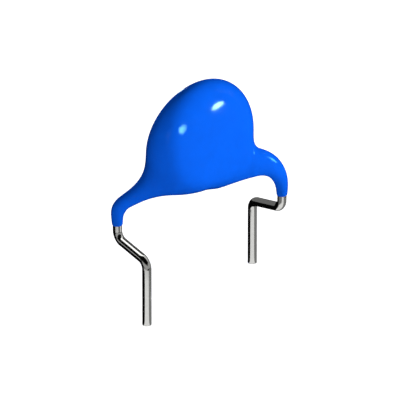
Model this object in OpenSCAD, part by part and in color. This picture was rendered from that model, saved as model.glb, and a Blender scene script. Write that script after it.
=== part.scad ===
// Ceramic disc capacitor, 10 mm pitch, with kinked 0.55 mm leads.
// The origin is midway between the two pins, on the board's top face. The disc stands in the
// XZ plane, the right lead lies on its front face (-Y) and the left lead on its back face (+Y).

/* [Leads] */
// Distance between the two pins along X
pitch = 10; // [10:0.05:10.4]
// Diameter of the tinned wire
wire_d = 0.55; // [0.5:0.05:0.6]
// Length of each pin below the board's top face
pin_length = 3.5; // [2.5:0.1:8]
// Distance of each pin from the disc's middle plane
pin_offset = 1.2; // [0.6:0.05:1.6]
// Distance of each lead from that plane where it turns in to the disc
leg_offset = 1.53; // [1.5:0.01:1.56]
// How much nearer to that plane each lead is at the top of its kink
leg_lean = 0.04; // [0.04:0.01:0.06]
// Height of the kink's lower corner
kink_low_z = 0.55; // [0.5:0.05:0.7]
// Height of the kink's upper corner
kink_high_z = 1.1; // [0.9:0.05:1.2]
// Bend radius of the wire's centre line at the kink
kink_bend = 0.6; // [0.5:0.05:0.65]
// Height at which the coating ends on the wire
coat_end_z = 1.83; // [1.7:0.01:1.9]
// Height of the corner where the right lead turns in to the disc
right_corner_z = 4.22; // [4.1:0.01:4.3]
// Bend radius of that turn
right_bend = 2.1; // [2:0.01:2.15]
// Height of the corner where the left lead turns in to the disc
left_corner_z = 3.04; // [3:0.01:3.1]
// Bend radius of that turn
left_bend = 0.83; // [0.8:0.01:0.88]
// Distance from the middle at which each lead turns up along the disc's face
root_x = 1.2; // [1.1:0.05:1.3]
// Height of that turn on the right lead
right_root_z = 4.75; // [4.65:0.01:4.85]
// Height of that turn on the left lead
left_root_z = 4.89; // [4.8:0.01:4.95]
// Distance from the middle of each lead's inner end
end_x = 0.6; // [0.5:0.05:0.8]
// Height of each lead's inner end
end_z = 6.6; // [6.3:0.05:6.8]

/* [Ceramic disc] */
// Diameter of the bare ceramic
ceramic_d = 5.4; // [5:0.1:5.4]
// Thickness of the bare ceramic
ceramic_t = 1; // [0.8:0.05:1]
// Height of the ceramic's centre above the board
ceramic_z = 6.5; // [6.48:0.01:6.55]
// Diameter of the fired silver on each face
silver_d = 4.7; // [4.5:0.1:4.9]
// Thickness of the fired silver
silver_t = 0.03; // [0.02:0.01:0.04]
// Diameter of the solder over each lead's end
solder_d = 2.4; // [2.2:0.05:2.5]
// Height of the solder above the silver
solder_h = 0.72; // [0.7:0.01:0.74]
// Distance from each lead's inner end to the middle of its solder
solder_set = 0.35; // [0.3:0.05:0.45]
// Solder left between the wire and the silver
solder_film = 0.05; // [0.03:0.01:0.06]

/* [Coating] */
// Radius of the coated disc
body_r = 3.73; // [3.68:0.01:3.8]
// Height of the coated disc's centre above the board
body_z = 6.56; // [6.5:0.01:6.6]
// Half thickness near the rim, level with the centre
rim_half = 1.17; // [1.1:0.01:1.2]
// Swell of each face towards the middle
crown = 0.32; // [0.25:0.01:0.4]
// Half thickness gained at the bottom and lost at the top
sag = 0.62; // [0.55:0.01:0.65]
// How far the disc leans forward at its top edge, and back at its bottom edge
lean = 0.16; // [0.1:0.01:0.18]
// Rounding radius of the rim
rim_round = 1.3; // [1.2:0.01:1.35]
// Height of the line that flattens the disc between the legs
bottom_z = 2.98; // [2.94:0.01:3.05]
// Softness of the turn from the round rim to that line
bottom_blend = 2.25; // [2.1:0.01:2.35]
// Radius of the coating where it ends on the wire
tip_r = 0.31; // [0.305:0.005:0.33]
// Radius of the leg where its bend begins
leg_r = 0.39; // [0.37:0.01:0.42]
// Half thickness of each leg at the end of its bend
web_half = 0.41; // [0.4:0.01:0.5]
// Half thickness of each leg at its root
root_half = 0.97; // [0.93:0.01:1.1]
// Distance of the leg's centre from the disc's middle plane at its root
root_offset = 0.26; // [0.22:0.01:0.32]
// Half width of the right leg in the middle of its bend
right_bend_r = 0.58; // [0.56:0.01:0.6]
// Half width of the right leg at the end of its bend
right_web_r = 0.9; // [0.88:0.01:0.93]
// Half width of the right leg at its root
right_root_r = 1.55; // [1.5:0.01:1.6]
// Softness of the join of the right leg and the disc
right_blend = 0.63; // [0.5:0.01:0.8]
// Half width of the left leg in the middle of its bend
left_bend_r = 0.5; // [0.48:0.01:0.52]
// Half width of the left leg at the end of its bend
left_web_r = 0.45; // [0.43:0.01:0.48]
// Half width of the left leg at its root
left_root_r = 0.69; // [0.65:0.01:0.75]
// Softness of the join of the left leg and the disc
left_blend = 1.44; // [1.3:0.01:1.55]

/* [Hidden] */
$fn = 64;

blue = [0.04, 0.37, 0.95];
tin = [0.78, 0.78, 0.76];
silver = [0.86, 0.86, 0.84];
solder_grey = [0.62, 0.63, 0.65];
bisque = [0.80, 0.70, 0.56];

silver_face = ceramic_t / 2 + silver_t;
root_y = silver_face + solder_film + wire_d / 2;

// ---- small helpers ----

function clamp(t, low, high) = min(high, max(low, t));
function lerp(a, b, t) = a + (b - a) * t;
function unit(v) = v / norm(v);
// The left lead is the right one turned half round the upright axis, at its own heights.
function half_turn(p) = [-p.x, -p.y, p.z];
// The angle between the two runs that meet at corner b, measured inside the bend.
function corner_angle(a, b, c) = acos(unit(a - b) * unit(c - b));
// How far from corner b a bend of radius r starts and ends.
function bend_reach(a, b, c, r) = r / tan(corner_angle(a, b, c) / 2);
function bend_centre(a, b, c, r) =
    b + unit(unit(a - b) + unit(c - b)) * r / sin(corner_angle(a, b, c) / 2);
// The axes of a bend: from its centre to its start, along the wire there, and its turning axis.
function bend_x(a, b, c, r) =
    unit(b + unit(a - b) * bend_reach(a, b, c, r) - bend_centre(a, b, c, r));
function bend_y(a, b) = unit(b - a);
function bend_point(a, b, c, r, turn) =
    bend_centre(a, b, c, r)
    + r * (cos(turn) * bend_x(a, b, c, r) + sin(turn) * bend_y(a, b));

// ---- leads ----

// Corners of a lead's centre line, from the pin's end to the end on the disc.
function lead_line(corner_z, root_z) = [
    [pitch / 2, pin_offset, -pin_length],
    [pitch / 2, pin_offset, kink_low_z],
    [pitch / 2, leg_lean - leg_offset, kink_high_z],
    [pitch / 2, -leg_offset, corner_z],
    [root_x, -root_y, root_z],
    [end_x, -root_y, end_z]
];
// Bend radius where each lead turns up along the disc's face.
root_bend = 0.8;
// How far a bend laps over the straight wire, and how much thicker its radius is there.
bend_lap = 0.04;
bend_swell = 0.01;
right_line = lead_line(right_corner_z, right_root_z);
left_line = lead_line(left_corner_z, left_root_z);
right_bends = [0, kink_bend, kink_bend, right_bend, root_bend, 0];
left_bends = [0, kink_bend, kink_bend, left_bend, root_bend, 0];

module wire_straight(from, to) {
    run = to - from;
    translate(from)
        rotate([0, acos(run.z / norm(run)), atan2(run.y, run.x)])
            cylinder(d = wire_d, h = norm(run));
}

// A bend laps over the straight wire at both its ends, and swells a little there.
module wire_bend(a, b, c, r) {
    x = bend_x(a, b, c, r);
    y = bend_y(a, b);
    z = cross(x, y);
    o = bend_centre(a, b, c, r);
    lap = bend_lap / r * 180 / PI;
    multmatrix([[x.x, y.x, z.x, o.x], [x.y, y.y, z.y, o.y], [x.z, y.z, z.z, o.z]])
        rotate(-lap)
            rotate_extrude(angle = 180 - corner_angle(a, b, c) + 2 * lap)
                translate([r, 0]) circle(d = wire_d + 2 * bend_swell);
}

// A wire along the corners of line, with a bend of its own radius at each inner corner.
module wire(line, bends) {
    last = len(line) - 1;
    // How much of each run its two bends take.
    function reach(i) =
        i == 0 || i == last ? 0 : bend_reach(line[i - 1], line[i], line[i + 1], bends[i]);
    for (i = [0:last - 1]) {
        along = unit(line[i + 1] - line[i]);
        wire_straight(line[i] + along * reach(i), line[i + 1] - along * reach(i + 1));
    }
    for (i = [1:last - 1])
        wire_bend(line[i - 1], line[i], line[i + 1], bends[i]);
}

module lead_right() {
    color(tin) wire(right_line, right_bends);
}

module lead_left() {
    color(tin) rotate(180) wire(left_line, left_bends);
}

// ---- what the coating holds ----

module ceramic_disc() {
    color(bisque)
        translate([0, ceramic_t / 2, ceramic_z])
            rotate([90, 0, 0]) cylinder(d = ceramic_d, h = ceramic_t);
}

// The silver on the face that looks towards -Y.
module electrode() {
    color(silver)
        translate([0, -ceramic_t / 2, ceramic_z])
            rotate([90, 0, 0]) cylinder(d = silver_d, h = silver_t);
}

module electrode_front() {
    electrode();
}

module electrode_back() {
    rotate(180) electrode();
}

// A cap of solder on the silver, over the end of a lead.
module solder_cap(line) {
    ball_r = (pow(solder_d / 2, 2) + pow(solder_h, 2)) / (2 * solder_h);
    along = unit(line[5] - line[4]);
    middle = line[5] - along * solder_set;
    translate([middle.x, -silver_face, middle.z])
        rotate([90, 0, 0])
            difference() {
                translate([0, 0, solder_h - ball_r]) sphere(r = ball_r);
                translate([0, 0, -ball_r]) cube(2 * ball_r, center = true);
            }
}

module solder_front() {
    color(solder_grey)
        difference() {
            solder_cap(right_line);
            wire(right_line, right_bends);
        }
}

module solder_back() {
    color(solder_grey)
        rotate(180)
            difference() {
                solder_cap(left_line);
                wire(left_line, left_bends);
            }
}

// ---- the coating's skin ----
// The skin is where a blended field is zero: a crowned disc and two flattened legs that follow
// the leads, melted into each other. The field is about the distance to the skin, below zero
// inside. Rings of points are found on it along ribs that fan out from a spine.

function smooth_min(a, b, soft) =
    let (mix = clamp(0.5 + 0.5 * (b - a) / soft, 0, 1))
    lerp(b, a, mix) - soft * mix * (1 - mix);

function disc_field(p) =
    let (
        up = p.z - body_z,
        outline = -smooth_min(body_r - norm([p.x, up]), p.z - bottom_z, bottom_blend),
        outward = clamp(1 + outline / body_r, 0, 1),
        half = rim_half + crown * (1 - outward * outward) - sag * clamp(up / body_r, -1, 1),
        round = min(rim_round, half),
        in_plane = outline + round,
        middle = -lean * clamp(up / body_r, -1, 1),
        across = abs(p.y - middle) - (half - round)
    )
    norm([max(in_plane, 0), max(across, 0)]) + min(max(in_plane, across), 0) - round;

bend_steps = 8;
// A leg's centre line as [point, half width, half thickness], from the coating's end to the
// root. It follows the lead round the bend, then draws in towards the disc's middle plane.
function leg_line(line, bend, bend_r, web_r, root_r) =
    let (
        a = line[2], b = line[3], c = line[4],
        turn = 180 - corner_angle(a, b, c)
    )
    [
        [lerp(a, b, (coat_end_z - a.z) / (b.z - a.z)), tip_r, tip_r],
        for (i = [0:bend_steps])
            let (t = i / bend_steps)
            [bend_point(a, b, c, bend, t * turn),
             t < 0.5 ? lerp(leg_r, bend_r, 2 * t) : lerp(bend_r, web_r, 2 * t - 1),
             lerp(tip_r, web_half, t)],
        [[c.x, -root_offset, c.z], root_r, root_half]
    ];
right_leg = leg_line(right_line, right_bend, right_bend_r, right_web_r, right_root_r);
left_leg = leg_line(left_line, left_bend, left_bend_r, left_web_r, left_root_r);

// Field of one tapering run of a leg, with an oval section that is wide in the disc's plane.
function leg_run_field(p, from, to) =
    let (
        run = to[0] - from[0],
        off = p - from[0],
        t = clamp((off.x * run.x + off.z * run.z) / (run.x * run.x + run.z * run.z), 0, 1),
        away = off - t * run,
        wide = lerp(from[1], to[1], t),
        thin = lerp(from[2], to[2], t),
        flat = norm([away.x, away.z]),
        ratio = norm([flat / wide, away.y / thin]),
        slope = norm([flat / wide / wide, away.y / thin / thin])
    )
    slope == 0 ? -thin : ratio * (ratio - 1) / slope;

function leg_field(p, leg) =
    min([for (i = [0:len(leg) - 2]) leg_run_field(p, leg[i], leg[i + 1])]);

function skin_field(p) =
    smooth_min(
        smooth_min(disc_field(p), leg_field(p, right_leg), right_blend),
        leg_field(half_turn(p), left_leg), left_blend);

// Distance from c to the skin along the unit direction d: steps out to the first crossing,
// then halves the step that holds it.
skin_step = 0.4;
halvings = 9;
function skin_reach(c, d, r = 0) =
    skin_field(c + (r + skin_step) * d) > 0 ? halved(c, d, r, r + skin_step, halvings)
        : skin_reach(c, d, r + skin_step);
function halved(c, d, inside, outside, left) =
    let (middle = (inside + outside) / 2)
    left == 0 ? middle
        : skin_field(c + middle * d) > 0 ? halved(c, d, inside, middle, left - 1)
        : halved(c, d, middle, outside, left - 1);

// A station is [centre, upper rib, lower rib, half thickness]. Its ring goes from the front,
// over the tip of the upper rib to the back, and home under the tip of the lower rib.
around = 60;
function ring(station) = [
    for (j = [0:around - 1])
        let (
            turn = 360 * j / around,
            rib = turn < 180 ? station[1] : -station[2],
            d = unit([0, -station[3] * cos(turn), 0] + sin(turn) * rib)
        )
        station[0] + skin_reach(station[0], d) * d
];

// Direction in the disc's plane, by its angle from +X.
function ray(angle) = [cos(angle), 0, sin(angle)];

// The disc's ribs fan out from a spine between two hubs, where the legs join it, and end at
// the creases that the legs make with the rim.
crease = 109;
fan_steps = 42;
right_hub = [2.9, -0.75, 4.55];
left_hub = [-2.9, 0.7, 4.25];
spine_middle = [0, 0, 5];
function disc_rim(angle) = [body_r * sin(angle), 0, body_z + body_r * cos(angle)];
function spine(side) =
    side > 0 ? lerp(spine_middle, right_hub, side) : lerp(spine_middle, left_hub, -side);

disc_stations = [
    for (i = [0:fan_steps])
        let (
            side = 1 - 2 * i / fan_steps,
            centre = spine(side),
            rib = disc_rim(crease * side) - centre
        )
        [centre, [rib.x, 0, rib.z], ray(270) * (centre.z - bottom_z),
         lerp(rim_half, rim_half + crown, 1 - abs(side))]
];

function turned_station(s) = [half_turn(s[0]), [-s[1].x, 0, s[1].z], [-s[2].x, 0, s[2].z], s[3]];

// Stations of a leg in the right leg's place, from its tip up to the hub station.
shoulder_steps = 7;
function leg_stations(leg, hub) =
    let (
        tip = leg[0][0],
        start = leg[1][0],
        run = leg[bend_steps + 2][0] - leg[bend_steps + 1][0],
        upper_end = atan2(hub[1].z, hub[1].x),
        lower_end = 90 + atan2(run.z, run.x),
        bend = [
            for (i = [0:bend_steps])
                let (t = i / bend_steps, wide = leg[i + 1][1])
                [leg[i + 1][0], wide * ray(t * upper_end),
                 wide * ray(lerp(180, lower_end, t)), leg[i + 1][2]]
        ]
    )
    [
        for (i = [0:2])
            [lerp(tip, start, i / 3), ray(0) * leg_r, -ray(0) * leg_r, tip_r],
        each bend,
        for (i = [1:shoulder_steps - 1])
            [for (k = [0:3]) lerp(bend[bend_steps][k], hub[k], i / shoulder_steps)]
    ];

left_stations = leg_stations(left_leg, turned_station(disc_stations[fan_steps]));
stations = concat(
    leg_stations(right_leg, disc_stations[0]),
    disc_stations,
    [for (i = [len(left_stations) - 1:-1:0]) turned_station(left_stations[i])]
);

module skin() {
    last = len(stations) - 1;
    function at(i, j) = i * around + j % around;
    polyhedron(
        points = [for (s = stations) each ring(s)],
        faces = [
            [for (j = [0:around - 1]) at(0, j)],
            for (i = [0:last - 1], j = [0:around - 1])
                each [[at(i, j), at(i + 1, j), at(i + 1, j + 1)],
                      [at(i, j), at(i + 1, j + 1), at(i, j + 1)]],
            [for (j = [around - 1:-1:0]) at(last, j)]
        ]
    );
}

module coating() {
    color(blue)
        difference() {
            skin();
            ceramic_disc();
            electrode_front();
            electrode_back();
            solder_front();
            solder_back();
            lead_right();
            lead_left();
        }
}

ceramic_disc();
electrode_front();
electrode_back();
solder_front();
solder_back();
lead_right();
lead_left();
coating();
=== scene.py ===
import math
import bmesh
import bpy
from mathutils import Matrix, Quaternion, Vector
from mathutils.bvhtree import BVHTree


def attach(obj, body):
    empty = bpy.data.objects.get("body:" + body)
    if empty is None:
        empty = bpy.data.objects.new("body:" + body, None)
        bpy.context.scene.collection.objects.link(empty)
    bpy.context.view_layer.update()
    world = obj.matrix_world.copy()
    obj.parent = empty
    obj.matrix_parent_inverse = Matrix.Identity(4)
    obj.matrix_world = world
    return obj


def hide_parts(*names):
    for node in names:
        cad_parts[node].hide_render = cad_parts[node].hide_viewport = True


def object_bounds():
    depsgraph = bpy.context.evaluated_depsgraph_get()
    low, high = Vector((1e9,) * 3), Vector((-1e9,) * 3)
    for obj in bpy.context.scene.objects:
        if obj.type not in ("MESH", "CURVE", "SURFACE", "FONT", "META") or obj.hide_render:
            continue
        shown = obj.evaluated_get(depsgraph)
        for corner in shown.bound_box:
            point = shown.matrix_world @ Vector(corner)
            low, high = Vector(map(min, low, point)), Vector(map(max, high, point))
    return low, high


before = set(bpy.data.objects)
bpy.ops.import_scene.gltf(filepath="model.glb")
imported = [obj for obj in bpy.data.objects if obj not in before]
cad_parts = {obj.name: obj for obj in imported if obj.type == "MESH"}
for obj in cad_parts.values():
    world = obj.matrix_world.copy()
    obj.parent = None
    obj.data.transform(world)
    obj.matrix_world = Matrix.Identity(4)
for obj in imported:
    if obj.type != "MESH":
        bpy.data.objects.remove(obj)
cad_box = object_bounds()


# ---- ceramic disc ----
# The dielectric is a round tablet of titanate ceramic, pressed from powder and fired. It stays
# unglazed, so its skin is matt and a little pitted, with darker specks in the bisque colour.
MM = 0.001


def make_grain_group():
    """Mottling for any fired, plated or cured surface: two colours, a mask and a fine relief."""
    group = bpy.data.node_groups.new("grain", "ShaderNodeTree")
    for name, kind in (("Light", "NodeSocketColor"), ("Dark", "NodeSocketColor"),
                       ("Grains per Metre", "NodeSocketFloat"), ("Contrast", "NodeSocketFloat"),
                       ("Relief", "NodeSocketFloat")):
        group.interface.new_socket(name, in_out="INPUT", socket_type=kind)
    for name, kind in (("Color", "NodeSocketColor"), ("Mask", "NodeSocketFloat"),
                       ("Normal", "NodeSocketVector")):
        group.interface.new_socket(name, in_out="OUTPUT", socket_type=kind)
    nodes = group.nodes
    links = group.links
    values = nodes.new("NodeGroupInput")
    results = nodes.new("NodeGroupOutput")
    place = nodes.new("ShaderNodeTexCoord")
    noise = nodes.new("ShaderNodeTexNoise")
    noise.inputs["Detail"].default_value = 4
    noise.inputs["Roughness"].default_value = 0.6
    centred = nodes.new("ShaderNodeMath")
    centred.operation = "SUBTRACT"
    centred.inputs[1].default_value = 0.5
    spread = nodes.new("ShaderNodeMath")
    spread.operation = "MULTIPLY_ADD"
    spread.inputs[2].default_value = 0.5
    spread.use_clamp = True
    tint = nodes.new("ShaderNodeMix")
    tint.data_type = "RGBA"
    relief = nodes.new("ShaderNodeBump")
    links.new(place.outputs["Object"], noise.inputs["Vector"])
    links.new(values.outputs["Grains per Metre"], noise.inputs["Scale"])
    links.new(noise.outputs["Fac"], centred.inputs[0])
    links.new(centred.outputs[0], spread.inputs[0])
    links.new(values.outputs["Contrast"], spread.inputs[1])
    links.new(spread.outputs[0], tint.inputs["Factor"])
    links.new(values.outputs["Dark"], tint.inputs["A"])
    links.new(values.outputs["Light"], tint.inputs["B"])
    links.new(spread.outputs[0], relief.inputs["Height"])
    links.new(values.outputs["Relief"], relief.inputs["Distance"])
    links.new(tint.outputs["Result"], results.inputs["Color"])
    links.new(spread.outputs[0], results.inputs["Mask"])
    links.new(relief.outputs["Normal"], results.inputs["Normal"])
    return group


grain_group = make_grain_group()


def grainy_material(name, light, dark, grain, contrast, relief, rough_low, rough_high):
    """A material whose colour, roughness and relief all follow one grain."""
    material = bpy.data.materials.new(name)
    material.use_nodes = True
    nodes = material.node_tree.nodes
    links = material.node_tree.links
    shader = nodes["Principled BSDF"]
    mottle = nodes.new("ShaderNodeGroup")
    mottle.node_tree = grain_group
    mottle.inputs["Light"].default_value = (*light, 1)
    mottle.inputs["Dark"].default_value = (*dark, 1)
    mottle.inputs["Grains per Metre"].default_value = 1 / grain
    mottle.inputs["Contrast"].default_value = contrast
    mottle.inputs["Relief"].default_value = relief
    rough = nodes.new("ShaderNodeMapRange")
    rough.inputs["To Min"].default_value = rough_high
    rough.inputs["To Max"].default_value = rough_low
    links.new(mottle.outputs["Mask"], rough.inputs["Value"])
    links.new(rough.outputs["Result"], shader.inputs["Roughness"])
    links.new(mottle.outputs["Color"], shader.inputs["Base Color"])
    links.new(mottle.outputs["Normal"], shader.inputs["Normal"])
    return material


def dress(node, material):
    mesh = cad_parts[node].data
    mesh.materials.clear()
    mesh.materials.append(material)


bisque = grainy_material(
    "fired_ceramic", (0.80, 0.70, 0.56), (0.55, 0.45, 0.33), 0.11 * MM, 3.0, 0.006 * MM, 0.5, 0.75)
dress("ceramic_disc", bisque)


# ---- silver ----
# Each face of the ceramic carries a round print of silver paste, fired on. It is thin, matt and
# finely pebbled, with the darker tarnish that fired silver takes between its grains.
fired_silver = grainy_material(
    "fired_silver", (0.88, 0.88, 0.86), (0.66, 0.64, 0.60), 0.05 * MM, 2.4, 0.002 * MM, 0.32, 0.5)
fired_silver.node_tree.nodes["Principled BSDF"].inputs["Metallic"].default_value = 1
for node in ("electrode_front", "electrode_back"):
    dress(node, fired_silver)


# ---- leads ----
# Tinned round wire, formed with a kink that stops it on the board and cropped below it. Each goes
# up inside the coating's leg, and its end lies along the silver on its own face of the ceramic.
wire_radius = 0.275 * MM
wire_sides = 48
bend_steps = 14
crop_bevel = 0.05 * MM


def lead_corners(corner_z, root_z):
    """The right lead's centre line, from the cropped end to the end on the silver."""
    corners = [(5, 1.2, -3.5), (5, 1.2, 0.55), (5, -1.49, 1.1), (5, -1.53, corner_z),
               (1.2, -0.855, root_z), (0.6, -0.855, 6.6)]
    return [Vector(corner) * MM for corner in corners]


def model_lead(name, corners, bends):
    """A round face at the cropped end, extruded along each run and spun round each bend."""
    bpy.ops.object.select_all(action="DESELECT")
    bpy.ops.mesh.primitive_circle_add(
        vertices=wire_sides, radius=wire_radius, fill_type="NGON", location=corners[0])
    lead = bpy.context.object
    lead.name = name
    bpy.ops.object.transform_apply(location=True, rotation=False, scale=False)
    bpy.ops.object.mode_set(mode="EDIT")
    bpy.ops.mesh.select_all(action="SELECT")
    place = corners[0]
    for before, corner, after, bend in zip(corners, corners[1:], corners[2:], bends):
        way_in = (corner - before).normalized()
        way_out = (after - corner).normalized()
        turn = way_in.angle(way_out)
        bend_start = corner - way_in * bend * math.tan(turn / 2)
        bpy.ops.mesh.extrude_region_move(
            TRANSFORM_OT_translate={"value": bend_start - place})
        bpy.ops.mesh.spin(
            steps=bend_steps, angle=turn, axis=way_out.cross(way_in).normalized(),
            center=corner + (way_out - way_in).normalized() * bend / math.cos(turn / 2))
        place = corner + way_out * bend * math.tan(turn / 2)
    bpy.ops.mesh.extrude_region_move(TRANSFORM_OT_translate={"value": corners[-1] - place})
    bpy.ops.mesh.select_all(action="SELECT")
    bpy.ops.mesh.remove_doubles(threshold=0.001 * MM)
    bpy.ops.mesh.normals_make_consistent(inside=False)
    # Cropping leaves a small round edge on the pin's end.
    bpy.ops.mesh.select_all(action="DESELECT")
    wire = bmesh.from_edit_mesh(lead.data)
    for edge in wire.edges:
        edge.select = all(vertex.co.z < corners[0].z + 0.001 * MM for vertex in edge.verts)
    bmesh.update_edit_mesh(lead.data)
    bpy.ops.mesh.bevel(offset=crop_bevel, segments=3, affect="EDGES")
    bpy.ops.object.mode_set(mode="OBJECT")
    bpy.ops.object.shade_smooth_by_angle(angle=math.radians(40))
    return lead


lead_right = model_lead(
    "right_lead_wire", lead_corners(4.22, 4.75), [0.6 * MM, 0.6 * MM, 2.1 * MM, 0.8 * MM])
lead_left = model_lead(
    "left_lead_wire", lead_corners(3.04, 4.89), [0.6 * MM, 0.6 * MM, 0.83 * MM, 0.8 * MM])
lead_left.data.transform(Matrix.Rotation(math.pi, 4, "Z"))

tin = grainy_material(
    "tinned_wire", (0.68, 0.68, 0.66), (0.60, 0.60, 0.58), 0.16 * MM, 1.6, 0.0003 * MM, 0.1, 0.15)
tin.node_tree.nodes["Principled BSDF"].inputs["Metallic"].default_value = 1
for lead, node in ((lead_right, "lead_right"), (lead_left, "lead_left")):
    lead.data.materials.append(tin)
    lead.visible_glossy = False
    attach(lead, "root")
    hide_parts(node)
    dress(node, tin)


# ---- solder ----
# A cap of tin-lead solder holds the end of each lead on its silver. It sets with a frosty skin of
# larger, softer grains than the silver's.
solder = grainy_material(
    "set_solder", (0.66, 0.67, 0.69), (0.42, 0.43, 0.45), 0.28 * MM, 2.2, 0.006 * MM, 0.22, 0.45)
solder.node_tree.nodes["Principled BSDF"].inputs["Metallic"].default_value = 1
for node in ("solder_front", "solder_back"):
    dress(node, solder)


# ---- coating ----
# A skin of blue epoxy, left by dipping the soldered disc and its leads, and cured glossy. It is
# thick and round over the disc, sags towards the bottom, and runs down each lead to a thin end.
cavity_gap = 0.006 * MM
# Painted shade on the leg ends starts at the first height and is full at the second.
leg_shade_start = 3.5 * MM
leg_shade_full = 2.3 * MM
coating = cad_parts["coating"].copy()
coating.data = coating.data.copy()
coating.name = "dipped_coating"
for key in list(coating.keys()):
    del coating[key]
bpy.context.collection.objects.link(coating)
bpy.ops.object.select_all(action="DESELECT")
coating.select_set(True)
bpy.context.view_layer.objects.active = coating
bpy.ops.object.mode_set(mode="EDIT")
bpy.ops.mesh.select_mode(type="FACE")
bpy.ops.mesh.select_all(action="SELECT")
bpy.ops.mesh.remove_doubles(threshold=0.0002 * MM)
bpy.ops.mesh.select_all(action="DESELECT")
# The cavity's faces, which lie on the pieces in it, go. The ends of the two legs go with them,
# and are closed again flat.
inner_nodes = ("ceramic_disc", "electrode_front", "electrode_back", "solder_front", "solder_back")
held = []
for node in inner_nodes + ("lead_right", "lead_left"):
    surface = bmesh.new()
    surface.from_mesh(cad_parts[node].data)
    held.append(BVHTree.FromBMesh(surface))
    surface.free()
skin = bmesh.from_edit_mesh(coating.data)
lowest = min(vertex.co.z for vertex in skin.verts)
for face in skin.faces:
    middle = face.calc_center_median()
    in_cavity = min(tree.find_nearest(middle)[3] for tree in held) < cavity_gap
    face.select = in_cavity or middle.z < lowest + cavity_gap
bmesh.update_edit_mesh(coating.data)
bpy.ops.mesh.delete(type="FACE")
bpy.ops.mesh.select_all(action="SELECT")
bpy.ops.mesh.fill_holes(sides=0)
bpy.ops.mesh.select_all(action="SELECT")
bpy.ops.mesh.tris_convert_to_quads(face_threshold=math.radians(60), shape_threshold=math.radians(80))
bpy.ops.object.mode_set(mode="OBJECT")
smooth = coating.modifiers.new("flow", "SMOOTH")
smooth.factor = 0.5
smooth.iterations = 3
finer = coating.modifiers.new("finer", "SUBSURF")
finer.levels = finer.render_levels = 2
for modifier in ("flow", "finer"):
    bpy.ops.object.modifier_apply(modifier=modifier)
bpy.ops.object.shade_smooth()
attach(coating, "root")
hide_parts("coating")

epoxy = grainy_material(
    "blue_epoxy", (0.0034, 0.140, 0.97), (0.0030, 0.124, 0.88), 0.9 * MM, 1.6, 0.0008 * MM, 0.06, 0.09)
# Down the legs, the skin's colour is darkened towards their ends, by a fifth at most: painted shade.
nodes = epoxy.node_tree.nodes
links = epoxy.node_tree.links
place = nodes.new("ShaderNodeTexCoord")
height = nodes.new("ShaderNodeSeparateXYZ")
leg_shade_ramp = nodes.new("ShaderNodeMapRange")
leg_shade_ramp.inputs["From Min"].default_value = leg_shade_start
leg_shade_ramp.inputs["From Max"].default_value = leg_shade_full
painted_leg_shade = nodes.new("ShaderNodeMix")
painted_leg_shade.data_type = "RGBA"
painted_leg_shade.blend_type = "MULTIPLY"
painted_leg_shade.inputs["B"].default_value = (0.8, 0.8, 0.8, 1)
links.new(place.outputs["Object"], height.inputs[0])
links.new(height.outputs["Z"], leg_shade_ramp.inputs["Value"])
links.new(leg_shade_ramp.outputs["Result"], painted_leg_shade.inputs["Factor"])
links.new(nodes["Principled BSDF"].inputs["Base Color"].links[0].from_socket, painted_leg_shade.inputs["A"])
links.new(painted_leg_shade.outputs["Result"], nodes["Principled BSDF"].inputs["Base Color"])
coating.data.materials.clear()
coating.data.materials.append(epoxy)
dress("coating", epoxy)
# The wires mirror only the studio, and not the skin above them or what it holds.
coating.visible_glossy = False
for node in inner_nodes:
    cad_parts[node].visible_glossy = False


# ---- floor and backdrop ----
# A sheet of white paper lies under the part, and it takes the part's shadow. The room behind it
# is white too wherever it is seen or mirrored, but gives only a little light.
floor_size = 0.4
floor_z = cad_box[0][2]
bpy.ops.mesh.primitive_plane_add(size=floor_size, location=(0, 0, floor_z))
floor = bpy.context.object
floor.name = "floor"


def add_sight(nodes, links):
    """A value of 1 where a surface is seen, mirrored or seen through, and 0 where it gives light."""
    path = nodes.new("ShaderNodeLightPath")
    seen = nodes.new("ShaderNodeMath")
    seen.operation = "MAXIMUM"
    seen_through = nodes.new("ShaderNodeMath")
    seen_through.operation = "MAXIMUM"
    links.new(path.outputs["Is Camera Ray"], seen.inputs[0])
    links.new(path.outputs["Is Glossy Ray"], seen.inputs[1])
    links.new(seen.outputs[0], seen_through.inputs[0])
    links.new(path.outputs["Is Transmission Ray"], seen_through.inputs[1])
    return seen_through.outputs[0]


paper = bpy.data.materials.new("floor_paper")
paper.use_nodes = True
nodes = paper.node_tree.nodes
links = paper.node_tree.links
shader = nodes["Principled BSDF"]
shader.inputs["Base Color"].default_value = (0.8, 0.8, 0.8, 1)
shader.inputs["Roughness"].default_value = 0.9
shader.inputs["Specular IOR Level"].default_value = 0
white = nodes.new("ShaderNodeEmission")
white.inputs["Strength"].default_value = 0.85
total = nodes.new("ShaderNodeAddShader")
pick = nodes.new("ShaderNodeMixShader")
links.new(shader.outputs[0], total.inputs[0])
links.new(white.outputs[0], total.inputs[1])
links.new(add_sight(nodes, links), pick.inputs["Fac"])
links.new(shader.outputs[0], pick.inputs[1])
links.new(total.outputs[0], pick.inputs[2])
links.new(pick.outputs[0], nodes["Material Output"].inputs["Surface"])
floor.data.materials.append(paper)

world = bpy.data.worlds.new("studio")
bpy.context.scene.world = world
world.use_nodes = True
nodes = world.node_tree.nodes
links = world.node_tree.links
ambient = nodes["Background"]
ambient.inputs["Color"].default_value = (1, 1, 1, 1)
ambient.inputs["Strength"].default_value = 0.03
backdrop = nodes.new("ShaderNodeBackground")
backdrop.inputs["Color"].default_value = (1, 1, 1, 1)
backdrop.inputs["Strength"].default_value = 1
pick = nodes.new("ShaderNodeMixShader")
links.new(add_sight(nodes, links), pick.inputs["Fac"])
links.new(ambient.outputs[0], pick.inputs[1])
links.new(backdrop.outputs[0], pick.inputs[2])
links.new(pick.outputs[0], nodes["World Output"].inputs["Surface"])


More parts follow.
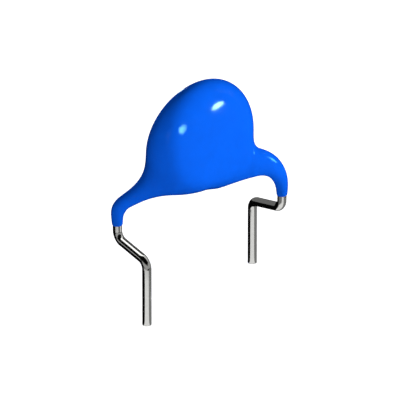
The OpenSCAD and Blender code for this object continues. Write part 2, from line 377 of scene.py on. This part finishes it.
# ---- tent and cards ----
# A black tent is all that the skin mirrors, besides its glints. The bare wires also mirror white
# and grey cards, which lie on the paper or hang round the part. Only the mirroring shows them.
tent_radius = 90 * MM
tent_sides = 32
tent_brightness = 0.002
above_paper = 0.02 * MM
kink = Vector((-5, 0, 0.8)) * MM


def hang(card, brightness):
    """Makes a card or the tent show to mirroring surfaces alone, with its own brightness."""
    card.visible_camera = False
    card.visible_diffuse = False
    card.visible_shadow = False
    card.visible_transmission = False
    felt = bpy.data.materials.new(card.name)
    felt.use_nodes = True
    nodes = felt.node_tree.nodes
    glow = nodes.new("ShaderNodeEmission")
    glow.inputs["Strength"].default_value = brightness
    felt.node_tree.links.new(glow.outputs[0], nodes["Material Output"].inputs["Surface"])
    card.data.materials.append(felt)


bpy.ops.object.select_all(action="DESELECT")
bpy.ops.mesh.primitive_uv_sphere_add(
    segments=tent_sides, ring_count=tent_sides // 2, radius=tent_radius, location=(0, 0, floor_z))
tent = bpy.context.object
tent.name = "black_tent"
hang(tent, tent_brightness)
bpy.ops.mesh.primitive_circle_add(
    vertices=tent_sides, radius=tent_radius, fill_type="NGON",
    location=(0, 0, floor_z + above_paper / 2))
tent_floor = bpy.context.object
tent_floor.name = "black_floor"
hang(tent_floor, tent_brightness)

wires = bpy.data.collections.new("wires")
wires.objects.link(lead_right)
wires.objects.link(lead_left)


def way(azimuth, elevation):
    """Unit direction, with azimuth 0 towards the front and 90 towards the right, in degrees."""
    a, e = math.radians(azimuth), math.radians(elevation)
    return Vector((math.sin(a) * math.cos(e), -math.cos(a) * math.cos(e), math.sin(e)))


def card(name, brightness, corners):
    """A flat card with these corners, which only the wires mirror."""
    mesh = bpy.data.meshes.new(name)
    mesh.from_pydata(corners, [], [range(len(corners))])
    flag = bpy.data.objects.new(name, mesh)
    bpy.context.collection.objects.link(flag)
    flag.light_linking.receiver_collection = wires
    hang(flag, brightness)


def on_paper(*corners):
    return [Vector((x * MM, y * MM, floor_z + above_paper)) for x, y in corners]


def round_spot(spot, distance, *directions):
    """Corners that lie in these directions from a spot, all at one distance."""
    return [spot + way(azimuth, elevation) * distance * MM for azimuth, elevation in directions]


card("paler_card_left", 1, on_paper(
    (-5, -1.2), (-12.3, -1.4), (-11.3, -4.9), (-8.7, -7.5), (-5, -8.5), (-4.1, -8.4)))
card("duller_card_left", 0.8, on_paper(
    (-4.1, -8.4), (-5, -8.5), (-8.7, -7.5), (-11.3, -4.9), (-12.3, -1.4),
    (-14, 1.2), (-18, 1.2), (-17.5, -6), (-13.5, -11.5), (-3.7, -11.5)))
card("grey_card_left", 0.26, on_paper((-5, -1.2), (-3.7, -11.5), (-1.5, -11.5), (-1.5, 2.9)))
card("paler_card_right", 1, on_paper((5, 1.2), (-1.5, 1), (-1.5, -12), (5.9, -12)))
card("grey_card_right", 0.26, on_paper((5, 1.2), (5.9, -12), (14, -12), (16, 4), (13, 10)))
# The fence keeps the right pin's pale card out of the left pin.
card("grey_fence", 0.2, [
    Vector((-1.5, y, z)) * MM for y, z in ((-11, -3.4), (3, -3.4), (3, -1), (-11, -1))])
card("grey_wall_right", 0.4, round_spot(Vector(), 40, (-4, -6), (112, -6), (112, 22), (-4, 22)))
card("grey_wall_left", 0.42, round_spot(
    Vector(), 30, (-100, -8), (-5, -8), (-5, 12), (-100, 12)))
card("pale_card", 0.75, round_spot(Vector(), 60, (40, 30), (116, 30), (116, 78), (40, 78)))
card("dim_card", 0.19, round_spot(
    Vector(), 80, (140, 3), (180, 3), (222, 3), (222, 30), (180, 30), (140, 30)))
# These stand round the left kink, for the white streak along it and the grey lines beside that.
card("white_card", 1.8, round_spot(kink, 35, (150, 50), (225, 55), (225, 82), (150, 82)))
card("high_card", 1.8, round_spot(kink, 35, (92, 60), (150, 62), (150, 84), (92, 84)))
card("edge_card", 0.16, round_spot(kink, 6, (100, -2), (150, -2), (150, 38), (100, 38)))
card("horizon_card", 0.6, round_spot(kink, 12, (215, -1), (250, -1), (250, 9), (215, 9)))


# ---- lamps ----
# Three soft square lamps light the part from the right, the left and behind. Four small lamps
# with narrow beams put one glint each on the skin, and light nothing else.
soft_lamp_size = 70 * MM
soft_lamp_distance = 200 * MM
disc_middle = Vector((0, 0, 6.35 * MM))


def soft_lamp(name, azimuth, elevation, power):
    data = bpy.data.lights.new(name, "AREA")
    data.size = soft_lamp_size
    data.energy = power
    lamp = bpy.data.objects.new(name, data)
    bpy.context.collection.objects.link(lamp)
    lamp.location = disc_middle + way(azimuth, elevation) * soft_lamp_distance
    lamp.rotation_euler = way(azimuth, elevation).to_track_quat("Z", "Y").to_euler()
    lamp.visible_camera = False
    lamp.visible_glossy = False


soft_lamp("right_lamp", 54, 14, 0.37)
soft_lamp("left_lamp", -37, 8, 0.172)
soft_lamp("back_lamp", 155, 12, 0.34)

dipped = bpy.data.collections.new("dipped")
dipped.objects.link(coating)


def glint_lamp(name, spot, azimuth, elevation, distance, width, height, turn, spread, power,
               colour):
    """An oval lamp aimed at one spot of the skin, held so narrow that it glints only there."""
    data = bpy.data.lights.new(name, "AREA")
    data.shape = "ELLIPSE"
    data.size = width * MM
    data.size_y = height * MM
    data.spread = math.radians(spread)
    data.energy = power
    data.color = colour
    lamp = bpy.data.objects.new(name, data)
    bpy.context.collection.objects.link(lamp)
    lamp.location = Vector(spot) * MM + way(azimuth, elevation) * distance * MM
    aim = way(azimuth, elevation).to_track_quat("Z", "Y")
    lamp.rotation_euler = (aim @ Quaternion((0, 0, 1), math.radians(turn))).to_euler()
    lamp.visible_camera = False
    lamp.visible_diffuse = False
    lamp.light_linking.receiver_collection = dipped


glint_lamp("upper_glint", (0.42, -1.05, 8.98), azimuth=38, elevation=-4, distance=18,
           width=2.4, height=0.95, turn=17, spread=20, power=2.1e-6, colour=(0.5, 1, 1))
glint_lamp("left_glint", (-2.18, -1.1, 8.24), azimuth=12.5, elevation=0, distance=18,
           width=7.5, height=1.6, turn=-25, spread=32, power=1.4e-5, colour=(0.33, 1, 1))
glint_lamp("leg_glint", (4.08, -1.66, 4.58), azimuth=50, elevation=1, distance=4,
           width=3.2, height=1.1, turn=0, spread=17, power=8e-7, colour=(0.2, 1, 1))
glint_lamp("back_glint", (0, 1.3, 8), azimuth=158, elevation=7, distance=18,
           width=3, height=1.5, turn=0, spread=24, power=4e-6, colour=(0.8, 1, 1))


# ---- camera ----
# It looks down on the front and the left side of the disc through a very long lens, so upright
# lines stay upright and the two pins look equally thick.
camera_azimuth = -39.53
camera_elevation = 25.75
camera_distance = 500 * MM
frame_width = 23.306 * MM
aim_drop = 3.407 * MM
back = way(camera_azimuth, camera_elevation)
right = Vector((
    math.cos(math.radians(camera_azimuth)), math.sin(math.radians(camera_azimuth)), 0))
up = back.cross(right)
target = disc_middle - up * aim_drop
camera_data = bpy.data.cameras.new("camera")
camera = bpy.data.objects.new("camera", camera_data)
bpy.context.collection.objects.link(camera)
camera.location = target + back * camera_distance
camera.rotation_euler = Matrix((right, up, back)).transposed().to_euler()
camera_data.lens = camera_data.sensor_width * camera_distance / frame_width
bpy.context.scene.camera = camera
bpy.context.scene.view_settings.view_transform = "Standard"
